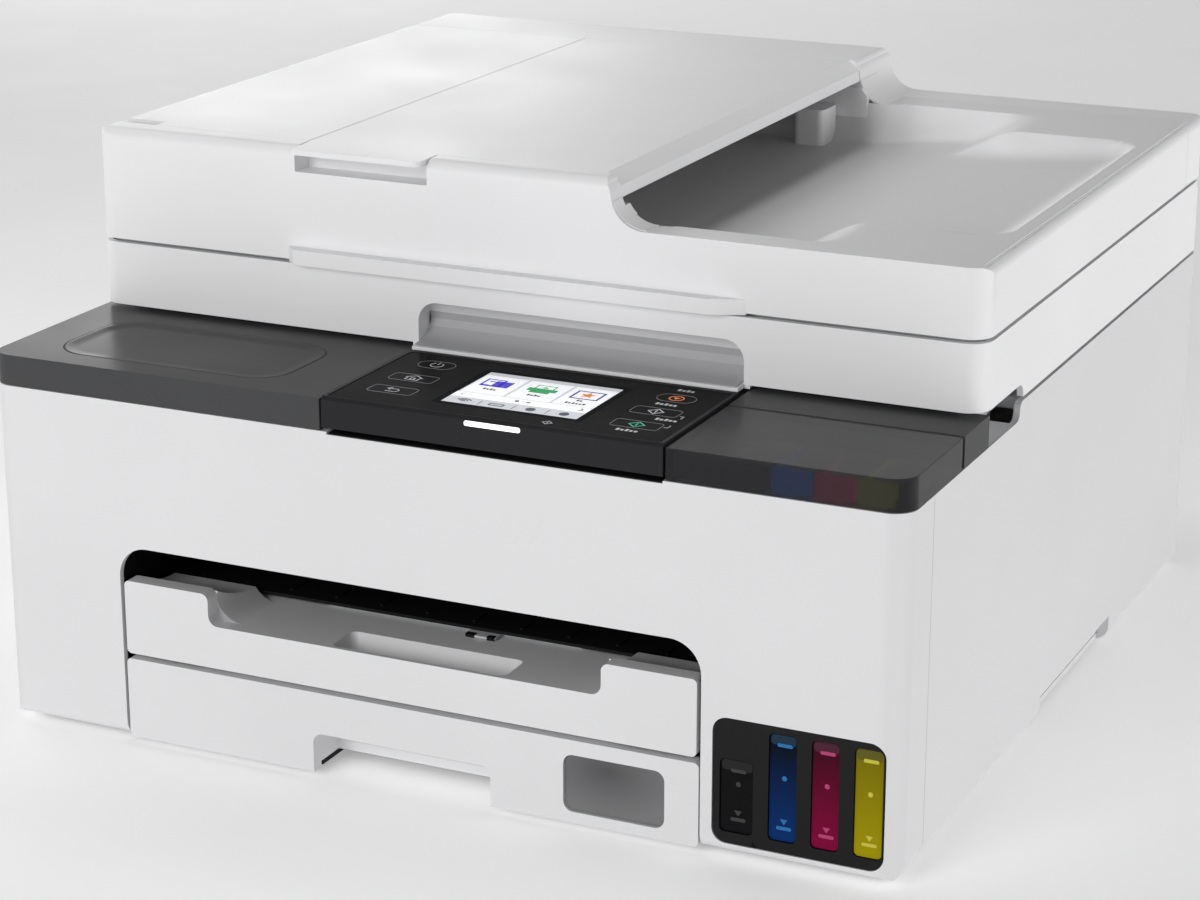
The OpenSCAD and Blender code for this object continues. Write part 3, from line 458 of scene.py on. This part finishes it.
def copy_of(node, name):
    """A new piece with the node's mesh, welded, that stands for the node."""
    bm = bmesh.new()
    bm.from_mesh(NODES[node].data)
    bmesh.ops.remove_doubles(bm, verts=bm.verts, dist=WELD)
    bmesh.ops.dissolve_limit(bm, angle_limit=COPLANAR, verts=bm.verts, edges=bm.edges)
    piece = make_piece(name, bm, MATERIALS[SLOT_OF[node]], BODY_OF[node])
    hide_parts(node)
    return piece


LID_CUTS = (((CURVE_X + 0.5, -107, 189.5), (182.6, 165, 240)),      # room for the dish insert
            ((186.4, 159.7, 175), (190, 160.2, 240)),               # seams around the side plates
            ((-190, 159.7, 175), (-186.4, 160.2, 240)),
            ((186.4, -108.8, 175), (190, -108.3, 240)),
            ((184.2, -108.6, RIM - 0.5), (184.6, 160, 240)))
lid_shell = copy_of("lid_base", "lid_shell")
for low, high in LID_CUTS:
    cutter = bmesh.new()
    block(cutter, low, high)
    cut(lid_shell, cutter)
soften(lid_shell, 0.7, 3)


# ---------------------------------------------------------------- dish insert

DEEP = {"back": 154.0, "front": -100.0, "right": 121.0,     # edges of the deep part
        "end": 177.6, "end_back": 118.5, "end_front": -64.5}    # and of its far end
FLOOR = ((-30.0, 190.6), (40.0, 190.6), (100.0, 195.4), (165.0, 200.8), (190.0, 204.5))
END_LEFT, END_CORNER = 60, 14       # where the far end begins, and its corner radius
INSERT_LEFT, INSERT_BOTTOM = -30, 188.8     # the insert runs on under the feeder
GRID_STEP = 1.6
BORDER_DROP = 0.03      # the insert's front border lies this far under the rim
# Distances over which the dish's form changes
RUN = {"back": 14, "front": 10, "wall": 11, "right": 34, "end": 20, "end_wall": 15, "rim": 5}


def smooth(t):
    t = min(1.0, max(0.0, t))
    return t * t * (3 - 2 * t)


def scoop(t):
    """Wall profile of the dish: steep under the rim, and rounding into the floor."""
    t = min(1.0, max(0.0, t))
    return 1 - (1 - t) ** 2.4


def floor_height(x):
    for (x0, z0), (x1, z1) in zip(FLOOR, FLOOR[1:]):
        if x <= x1:
            return z0 + (z1 - z0) * max(0.0, (x - x0) / (x1 - x0))
    return FLOOR[-1][1]


def inside_box(x, y, low, high, radius):
    """Distance inside a rectangle with round corners, negative outside."""
    dx = abs(x - (low[0] + high[0]) / 2) - (high[0] - low[0]) / 2 + radius
    dy = abs(y - (low[1] + high[1]) / 2) - (high[1] - low[1]) / 2 + radius
    return radius - math.hypot(max(dx, 0), max(dy, 0)) - min(max(dx, dy), 0)


def end_distance(x, y):
    return inside_box(x, y, (END_LEFT, DEEP["end_front"]), (DEEP["end"], DEEP["end_back"]),
                      END_CORNER)


def dish_height(x, y):
    back = ARM_Y[1] + (DEEP["back"] - ARM_Y[1]) * smooth((x - CURVE_X) / RUN["back"])
    front = ARM_Y[0] + (DEEP["front"] - ARM_Y[0]) * smooth((x - CURVE_X + 3) / RUN["front"])
    deep = scoop(min(back - y, y - front) / RUN["wall"])
    deep *= smooth((DEEP["right"] + 5 - x) / RUN["right"])
    end = scoop(end_distance(x, y) / RUN["end_wall"]) * smooth((x - END_LEFT - 2) / RUN["end"])
    depth = deep + end - deep * end
    rim = RIM - BORDER_DROP + (SKIN + BORDER_DROP) * smooth((y - INSERT_Y[0]) / RUN["rim"])
    return rim - depth * (rim - floor_height(x))


def grid_lines(low, high, step, exact):
    """Evenly spaced values, moved so that the exact ones are among them."""
    count = round((high - low) / step)
    lines = [low + (high - low) * i / count for i in range(count + 1)]
    for value in exact:
        nearest = min(range(len(lines)), key=lambda i: abs(lines[i] - value))
        lines[nearest] = value
    return lines


def on_end_edge(x, y):
    """Moves a point that is close to the far end's edge onto it."""
    gap = end_distance(x, y)
    if x <= DEEP["right"] + 6 or abs(gap) >= 1.0:
        return x, y
    step = 0.05
    slope = Vector(((end_distance(x + step, y) - gap) / step,
                    (end_distance(x, y + step) - gap) / step))
    return x - gap * slope.x, y - gap * slope.y


def dish_insert():
    """The paper dish and its flange, as one closed skin."""
    xs = grid_lines(INSERT_LEFT, INSERT_X[1], GRID_STEP, (CURVE_X, DEEP["end"]))
    ys = grid_lines(INSERT_Y[0], INSERT_Y[1], GRID_STEP,
                    (*ARM_Y, DEEP["front"], DEEP["back"], DEEP["end_front"], DEEP["end_back"]))
    bm = bmesh.new()
    verts = {}
    for i, x in enumerate(xs):
        for j, y in enumerate(ys):
            if x >= CURVE_X or ARM_Y[0] <= y <= ARM_Y[1]:
                px, py = on_end_edge(x, y)
                verts[i, j] = bm.verts.new(on_top(px, py, dish_height(px, py)))
    for (i, j), corner in verts.items():
        ring = [verts.get(key) for key in ((i, j), (i + 1, j), (i + 1, j + 1), (i, j + 1))]
        if all(ring):
            bm.faces.new(ring)
    border = [edge for edge in bm.edges if edge.is_boundary]
    skirt = bmesh.ops.extrude_edge_only(bm, edges=border)["geom"]
    for vert in (item for item in skirt if isinstance(item, bmesh.types.BMVert)):
        vert.co.z = INSERT_BOTTOM * MM
    bmesh.ops.holes_fill(bm, edges=[edge for edge in bm.edges if edge.is_boundary])
    piece = make_piece("dish_insert", bm, dish_material("dish_white"), "lid")
    piece.data.shade_smooth()
    bevel_edges(piece, 0.2, 2, 50, 50)


def arm_liner(name, low_y, high_y):
    """Flange of the insert that follows the arm's curve up towards the feeder."""
    centre = (CURVE_X, CURVE_Z)
    bm = bmesh.new()
    prism(bm, arc_points(centre, CURVE_R - SKIN, CURVE_END, 270, 18)
          + arc_points(centre, CURVE_R + 1.0, 270, CURVE_END, 18), low_y, high_y, on_front)
    soften(make_piece(name, bm, MATERIALS["white_plastic"], "lid"), 0.2)


dish_insert()
arm_liner("arm_liner_front", INSERT_Y[0], ARM_Y[0] - 0.1)
arm_liner("arm_liner_back", ARM_Y[1] + 0.1, INSERT_Y[1])


# ---------------------------------------------------------------- left cover and scanner recess

DECK_TOP = 152.3
HOLLOW_LOW, HOLLOW_HIGH, HOLLOW_R = (-168, -178), (-67, -128), 15
# Inset and drop of each ring, from the underside up over the edge and down to the floor
HOLLOW_RINGS = ((0.15, 0.78), (0.15, 0.02), (1.2, 0.10), (2.8, 0.32), (4.4, 0.52), (6.0, 0.60),
                (6.2, 0.60))


# Shallow dish that eases the left cover's hollow into its surface
hollow = bmesh.new()
loops = []
for inset, drop in HOLLOW_RINGS:
    outline = rounded([value + inset for value in HOLLOW_LOW],
                      [value - inset for value in HOLLOW_HIGH], HOLLOW_R - inset, 10)
    loops.append([hollow.verts.new(on_top(x, y, DECK_TOP - drop)) for x, y in outline])
for lower, upper in zip(loops, loops[1:]):
    bridge(hollow, lower, upper)
hollow.faces.new(loops[0][::-1])
hollow.faces.new(loops[-1])
make_piece("left_cover_dish", hollow, MATERIALS["dark_cover"], BODY_OF["left_top_cover"]).data.shade_smooth()

# Grey lining of the lower part of the hand recess, a separate part with a seam whose grey is painted shade:
# its Y and Z along the wall, and its ends in X
RECESS_WALL = ((-104.4, 164.6), (-103.5, 161.5), (-104.5, 158.5), (-107.5, 156.1),
               (-111.5, 154.9), (-117.5, 154.3))
RECESS_X = (-40.4, 94.0)
LINER_BACK, LINER_FACE = (0.12, 0.12), (0.42, 0.36)     # distances in front of and above the wall
liner = bmesh.new()
section = [(y - LINER_BACK[0], z + LINER_BACK[1]) for y, z in RECESS_WALL]
section += [(y - LINER_FACE[0], z + LINER_FACE[1]) for y, z in reversed(RECESS_WALL)]
left, right = ([liner.verts.new(Vector((x, y, z)) * MM) for y, z in section] for x in RECESS_X)
liner.faces.new(left)
liner.faces.new(right[::-1])
bridge(liner, left, right)
soften(make_piece("recess_liner", liner, RECESS_SHADE_GREY, BODY_OF["scanner_case"]),
       0.12)


# ---------------------------------------------------------------- output tray

tab_marks = bmesh.new()
for low_x, high_x in ((1.4, 5.6), (10.4, 13.6)):
    prism(tab_marks, rounded((low_x, -159.05), (high_x, -156.4), 0.5), 55.62, 56.78)
make_piece("tab_marks", tab_marks, MATERIALS["black_plastic"], "tray_extension")

# Filler, for looks only, between the tray front's notch and the wider curve of the left shoulder; its grey
# is painted shade
NOTCH_LEFT, DECK_Z = -92.5, 55.4
NOTCH_R, SHOULDER_R = 4.0, 10.6
cheek = bmesh.new()
prism(cheek,
      arc_points((NOTCH_LEFT + SHOULDER_R, DECK_Z + SHOULDER_R), SHOULDER_R, 180, 270, 12)
      + arc_points((NOTCH_LEFT + NOTCH_R, DECK_Z + NOTCH_R), NOTCH_R, 270, 180, 8),
      -183.2, -182.85, on_front)
make_piece("tray_cheek_shade", cheek, RECESS_SHADE_GREY, "output_tray")


# ---------------------------------------------------------------- control panel

FACE = 153.2            # height of the panel's face plate
PRINT_LOW, PRINT_HIGH = FACE - 0.03, FACE + 0.05
OBLONG, ROUND = ((9.2, 4.2), 1.6), ((7.5, 4.6), 4.5)    # half sizes and corner radius of a key
OUTLINE_FIT = 0.98      # corner radius of a key's printed outline against the key's own
KEYS = {
    "power_button": ((-21.1, -135.6), ROUND),
    "home_button": ((-20.9, -154.4), OBLONG),
    "back_button": ((-20.5, -171.2), OBLONG),
    "stop_button": ((78.3, -137.2), ROUND),
    "start_black_button": ((78.1, -155.1), OBLONG),
    "start_colour_button": ((78.3, -172.3), OBLONG),
}


def icon_piece(name, mat, body, lines=(), fills=(), width=0.42):
    """Thin printed lines (points, closed) and filled outlines on the panel."""
    bm = bmesh.new()
    for points, closed in lines:
        ribbon(bm, points, width, PRINT_LOW, PRINT_HIGH, on_top, closed)
    for outline in fills:
        prism(bm, outline, PRINT_LOW, PRINT_HIGH)
    return make_piece(name, bm, mat, body)


def around(centre, points, size=1.0):
    return [(centre[0] + x * size, centre[1] + y * size) for x, y in points]


def key_icon(key, mat, lines, fills=(), width=0.42):
    """An icon on a key; lines and fills are drawn around the key's centre."""
    centre = KEYS[key + "_button"][0]
    icon_piece(key + "_icon", mat, key + "_button",
               [(around(centre, points), closed) for points, closed in lines],
               [around(centre, outline) for outline in fills], width)


for key, (centre, (half, radius)) in KEYS.items():
    outline = rounded((centre[0] - half[0], centre[1] - half[1]),
                      (centre[0] + half[0], centre[1] + half[1]), radius * OUTLINE_FIT)
    icon_piece(key + "_outline", KEY_LINE, key, [(outline, True)], width=0.3)

ORIGIN = (0.0, 0.0)
HOUSE = [(-2.6, -2.4), (-2.6, 0.6), (-3.2, 0.6), (0, 3.0), (3.2, 0.6), (2.6, 0.6), (2.6, -2.4)]
DOOR = [(-0.8, -2.2), (-0.8, -0.2), (0.8, -0.2), (0.8, -2.2)]
RETURN_ARROW = [(-2.4, -1.9), (0.9, -1.9), *arc_points((0.9, -0.3), 1.6, -90, 90, 10),
                (0.9, 1.3), (-2.6, 1.3)]
DIAMOND = [(-3.0, 0.0), (0.0, -2.9), (3.0, 0.0), (0.0, 2.9)]
key_icon("power", LEGEND_GREY, [(arc_points(ORIGIN, 2.5, 125, 415), False),
                                ([(0, 0.6), (0, 3.4)], False)])
key_icon("home", LEGEND_GREY, [(HOUSE, True), (DOOR, False)])
key_icon("back", LEGEND_GREY, [(RETURN_ARROW, False),
                               ([(-1.2, 2.6), (-2.8, 1.3), (-1.2, 0.0)], False)])
key_icon("stop", ORANGE, [(arc_points(ORIGIN, 2.7, 0, 345, 23), True)],
         [[(-1.4, 0.9), (1.4, 0.9), (0, -1.4)]], 0.5)
for key, mat in (("start_black", LEGEND_GREY), ("start_colour", GREEN)):
    key_icon(key, mat, [(DIAMOND, True), ([(0, -1.5), (0, 1.5)], False)], width=0.5)

SCREEN_MARK = (48.6, -183.6)        # small mark in front of the screen
icon_piece("panel_marks", LEGEND_GREY, "control_panel",
           [(around(SCREEN_MARK, DIAMOND, 0.62), True),
            (around(SCREEN_MARK, [(0, -0.8), (0, 0.8)]), False),
            ([(88.4, -157.2), (89.9, -157.2), (89.9, -160.0)], False),
            ([(88.4, -171.6), (89.9, -171.6), (89.9, -168.8)], False)], width=0.3)

bezel = bmesh.new()
ribbon(bezel, [(0.1, -177.0), (57.6, -177.0), (57.6, -134.0), (0.1, -134.0)], 2.4, PRINT_LOW,
       FACE + 0.03, on_top, True)
make_piece("screen_bezel", bezel, BEZEL_BLACK, "control_panel")


def caption(bm, centre, count, low=PRINT_LOW, high=PRINT_HIGH, size=1.0):
    """A word's place: a row of small plain strokes, some of them taller."""
    pitch, half, foot, short, tall = (size * value for value in (1.75, 0.6, 0.8, 0.8, 1.5))
    for i in range(count):
        x = centre[0] + (i - (count - 1) / 2) * pitch
        top = centre[1] + (tall if i == 0 or i % 3 == 2 else short)
        prism(bm, rectangle((x - half, centre[1] - foot), (x + half, top)), low, high)


captions = bmesh.new()
for centre, count in (((77.8, -127.4), 4), ((78.0, -146.0), 5), ((85.6, -163.4), 5),
                      ((77.9, -180.2), 5)):
    caption(captions, centre, count)
make_piece("panel_captions", captions, LEGEND_GREY, "control_panel")

# Black strip of painted shade that keeps the gap under the panel dark
GAP_FLOOR = 139
shade_strip = bmesh.new()
prism(shade_strip, rectangle((-37.8, -189.7), (95.9, -183.3)), GAP_FLOOR + 0.04, GAP_FLOOR + 0.5)
soften(make_piece("panel_gap_shade", shade_strip, MATERIALS["black_plastic"], "chassis"),
       0.1)

# Lit bar in the slot of the panel's front face
bar = bmesh.new()
prism(bar, rounded((18.5, 149.9), (40.8, 151.8), 0.75), -189.95, -189.45, on_front)
soften(make_piece("status_light", bar, WHITE_LIGHT, "control_panel"), 0.12)


# ---------------------------------------------------------------- picture on the screen

SCREEN_FACE = 153.1
LAYER = 0.06            # thickness of one layer of the picture
SCREEN_X = (1.7, 56.0)


def screen_piece(name, colour, glow, fills=(), lines=(), layer=0, width=0.4):
    low = SCREEN_FACE + 0.01 + LAYER * layer
    bm = bmesh.new()
    for outline in fills:
        prism(bm, outline, low, low + LAYER)
    for points, closed in lines:
        ribbon(bm, points, width, low, low + LAYER, on_top, closed)
    return make_piece(name, bm, lit_material(name, colour, glow), "control_panel")


def frame_around(low, high):
    """Corners of a frame, open along its lower edge unless it is drawn closed."""
    return [low, (low[0], high[1]), high, (high[0], low[1])]


TILES = ((2.4, 19.6), (20.8, 38.2), (39.4, 56.0))
screen_piece("screen_ground", (0.72, 0.74, 0.78), 0.3,
             [rectangle((SCREEN_X[0], -175.8), (SCREEN_X[1], -135.2))])
screen_piece("screen_tiles", (0.95, 0.96, 1.0), 0.5,
             [rectangle((x0, -161.0), (x1, -139.2)) for x0, x1 in TILES]
             + [rectangle((SCREEN_X[0], -167.6), (SCREEN_X[1], -162.0))], layer=1)
screen_piece("screen_copy", (0.06, 0.04, 0.70), 0.25,
             [rectangle((9.6, -152.2), (16.6, -145.0)), rectangle((5.4, -152.2), (9.0, -150.6))],
             [(frame_around((5.4, -151.6), (12.6, -143.6)), True),
              ([(7.0, -146.4), (10.8, -146.4)], False)], 2, 0.8)
screen_piece("screen_print", (0.0, 0.42, 0.10), 0.25,
             [rectangle((23.6, -150.4), (35.4, -147.0)), rectangle((25.6, -152.6), (33.4, -150.4)),
              [(28.0, -146.2), (31.0, -146.2), (29.5, -144.6)]],
             [(frame_around((25.8, -147.0), (33.2, -143.2)), False)], 2, 0.5)
STAR = [(47.7 + r * math.cos(math.radians(90 + 36 * i)),
         -147.8 + r * math.sin(math.radians(90 + 36 * i))) for i, r in enumerate([3.4, 1.4] * 5)]
screen_piece("screen_frame", (0.03, 0.03, 0.25), 0.2, [],
             [(frame_around((42.4, -152.4), (53.0, -143.4)), True)], 2, 0.8)
screen_piece("screen_star", (0.85, 0.24, 0.02), 0.3, [STAR], layer=3)
screen_piece("screen_toolbar", (0.012, 0.05, 0.10), 0.05,
             [arc_points((x, -172.0), 1.9, 0, 340, 17) for x in (36.2, 49.6)]
             + [arc_points((27.2, -164.8), 0.9, 0, 330, 11)],
             [(arc_points((9.2, -173.4), r, 35, 145, 8), False) for r in (1.0, 2.2, 3.4)]
             + [([(19.8, -173.2), (25.2, -173.2), (25.2, -171.0), (19.8, -171.0)], True),
                ([(52.4, -163.4), (53.8, -164.8), (52.4, -166.2)], False)], 2, 0.45)
screen_piece("screen_faint", (0.35, 0.37, 0.42), 0.1,
             [arc_points((31.8, -164.8), 0.9, 0, 330, 11)],
             [([(x, -174.6), (x, -169.8)], False) for x in (15.8, 29.5, 43.0)]
             + [([(5.6, -163.6), (4.4, -164.8), (5.6, -166.0)], False)], 2, 0.3)

WORDS_LOW = SCREEN_FACE + 0.01 + 2 * LAYER
words = bmesh.new()
for centre, count in (((11.3, -155.8), 4), ((29.5, -156.0), 4), ((47.6, -155.0), 2),
                      ((47.5, -158.8), 6)):
    caption(words, centre, count, WORDS_LOW, WORDS_LOW + LAYER, 0.8)
make_piece("screen_words", words, lit_material("screen_words", (0.03, 0.03, 0.05), 0.1),
           "control_panel")


# ---------------------------------------------------------------- ink level windows

# Each tank's window: its colour, ends in X and top, and the colours of its marks and of the air
LEVELS = (("black", (119.2, 131.5), 39.6, (0.045, 0.045, 0.045), (0.016, 0.016, 0.016)),
          ("cyan", (137.8, 147.9), 52.5, (0.02, 0.16, 0.42), (0.008, 0.030, 0.060)),
          ("magenta", (153.9, 163.9), 52.5, (0.45, 0.05, 0.16), (0.070, 0.012, 0.030)),
          ("yellow", (169.9, 180.1), 52.5, (0.58, 0.52, 0.05), (0.11, 0.10, 0.012)))
TANK_FRONT = -188.8
MARK_Y = (TANK_FRONT - 0.3, TANK_FRONT + 0.1)
AIR_Y = (TANK_FRONT - 0.08, TANK_FRONT + 0.1)
TALL_WINDOW = 45        # windows that reach above this carry their dot higher
for colour, (x0, x1), top, mark_colour, air_colour in LEVELS:
    middle = (x0 + x1) / 2 + 0.6
    dot_z = 35.9 if top > TALL_WINDOW else 30.4
    marks = bmesh.new()
    for outline in (rounded((middle - 2.9, top - 4.8), (middle + 2.9, top - 3.4), 0.6),
                    arc_points((middle, dot_z), 1.0, 0, 345, 15),
                    [(middle - 1.5, 20.2), (middle, 18.0), (middle + 1.5, 20.2)],
                    rounded((middle - 2.9, 16.0), (middle + 2.9, 17.4), 0.6)):
        prism(marks, outline, *MARK_Y, on_front)
    mat = textured_plastic("mark_" + colour, mark_colour, 0.4, 0.05, Specular_IOR_Level=0.2)
    soften(make_piece("level_marks_" + colour, marks, mat, "chassis"), 0.15)
    air = bmesh.new()
    prism(air, rounded((x0 + 0.3, top - 4.1), (x1 - 0.3, top - 0.3), 1.4), *AIR_Y, on_front)
    mat = textured_plastic("air_" + colour, air_colour, 0.3, 0.05, Specular_IOR_Level=0.15)
    make_piece("tank_air_" + colour, air, mat, "chassis")

# Caps under the smoked cover, each with its tab to the front
CAP_BOTTOM, CAP_TOP, CAP_TAB_TOP = 140.9, 148.4, 149.2
for (colour, mat), x in zip(CAPS.items(), (127.0, 142.7, 158.6, 173.6)):
    cap = bmesh.new()
    prism(cap, rounded((x - 6.0, -182.4), (x + 6.0, -156.8), 2.2), CAP_BOTTOM, CAP_TOP)
    prism(cap, rounded((x - 7.1, -187.5), (x + 7.1, -183.0), 0.8), CAP_BOTTOM, CAP_TAB_TOP)
    soften(make_piece("ink_cap_" + colour, cap, mat, "chassis"), 0.5)


# ---------------------------------------------------------------- camera

AZIMUTH = math.radians(25.07)       # from the front towards the right
ELEVATION = math.radians(17.75)
CAMERA_PLACE = (0.4996, -1.1036, 0.4709)
FOCAL_LENGTH = 90.83


def aim(obj, direction):
    obj.rotation_mode = "QUATERNION"
    obj.rotation_quaternion = direction.to_track_quat("-Z", "Y")


camera = bpy.data.objects.new("camera", bpy.data.cameras.new("camera"))
bpy.context.scene.collection.objects.link(camera)
camera.data.sensor_width = 36
camera.data.lens = FOCAL_LENGTH
camera.data.clip_end = 10
camera.location = CAMERA_PLACE
aim(camera, -Vector((math.sin(AZIMUTH) * math.cos(ELEVATION),
                     -math.cos(AZIMUTH) * math.cos(ELEVATION), math.sin(ELEVATION))))
bpy.context.scene.camera = camera


# ---------------------------------------------------------------- floor, sky and lights

FLOOR_HALF = 6          # metres
floor_mesh = bpy.data.meshes.new("floor")
floor_bm = bmesh.new()
bmesh.ops.create_grid(floor_bm, x_segments=1, y_segments=1, size=FLOOR_HALF)
floor_bm.to_mesh(floor_mesh)
floor_bm.free()
floor = bpy.data.objects.new("floor", floor_mesh)
bpy.context.scene.collection.objects.link(floor)
paint(floor, textured_plastic("floor", (0.82, 0.82, 0.82), 0.8, 0.1,
                              Emission_Color=(1.0, 1.0, 1.0, 1.0), Emission_Strength=0.33))

# The sky is pale near the horizon and darker overhead
SKY_TONES = ((0.1, 0.95), (0.75, 0.17))     # height of the direction, and its tone
SKY_STRENGTH = 0.62
world = bpy.data.worlds.new("studio")
bpy.context.scene.world = world
world.use_nodes = True
sky = world.node_tree
direction = sky.nodes.new("ShaderNodeTexCoord")
split = sky.nodes.new("ShaderNodeSeparateXYZ")
height = sky.nodes.new("ShaderNodeValToRGB")
for element, (position, tone) in zip(height.color_ramp.elements, SKY_TONES):
    element.position = position
    element.color = (tone, tone, tone, 1.0)
sky.links.new(direction.outputs["Generated"], split.inputs["Vector"])
sky.links.new(split.outputs["Z"], height.inputs["Fac"])
sky.links.new(height.outputs["Color"], sky.nodes["Background"].inputs["Color"])
sky.nodes["Background"].inputs["Strength"].default_value = SKY_STRENGTH


def softbox(name, place, target, size, watts):
    light = bpy.data.objects.new(name, bpy.data.lights.new(name, "AREA"))
    bpy.context.scene.collection.objects.link(light)
    light.data.shape = "DISK"
    light.data.size = size
    light.data.energy = watts
    light.location = place
    aim(light, Vector(target) - Vector(place))


softbox("left", (-0.6, 0.1, 0.72), (0.0, 0.0, 0.2), 0.4, 1.15)
softbox("over", (-0.1, 0.1, 0.62), (-0.03, 0.05, 0.2), 0.15, 0.34)
softbox("key", (-0.4, -2.0, 0.8), (0.0, 0.0, 0.15), 1.1, 18)
softbox("right", (2.0, 0.4, 0.2), (0.2, 0.1, 0.08), 0.8, 16)
softbox("back", (-1.5, 2.1, 0.7), (0.0, 0.0, 0.15), 1.0, 7)

bpy.context.scene.view_settings.view_transform = "Standard"
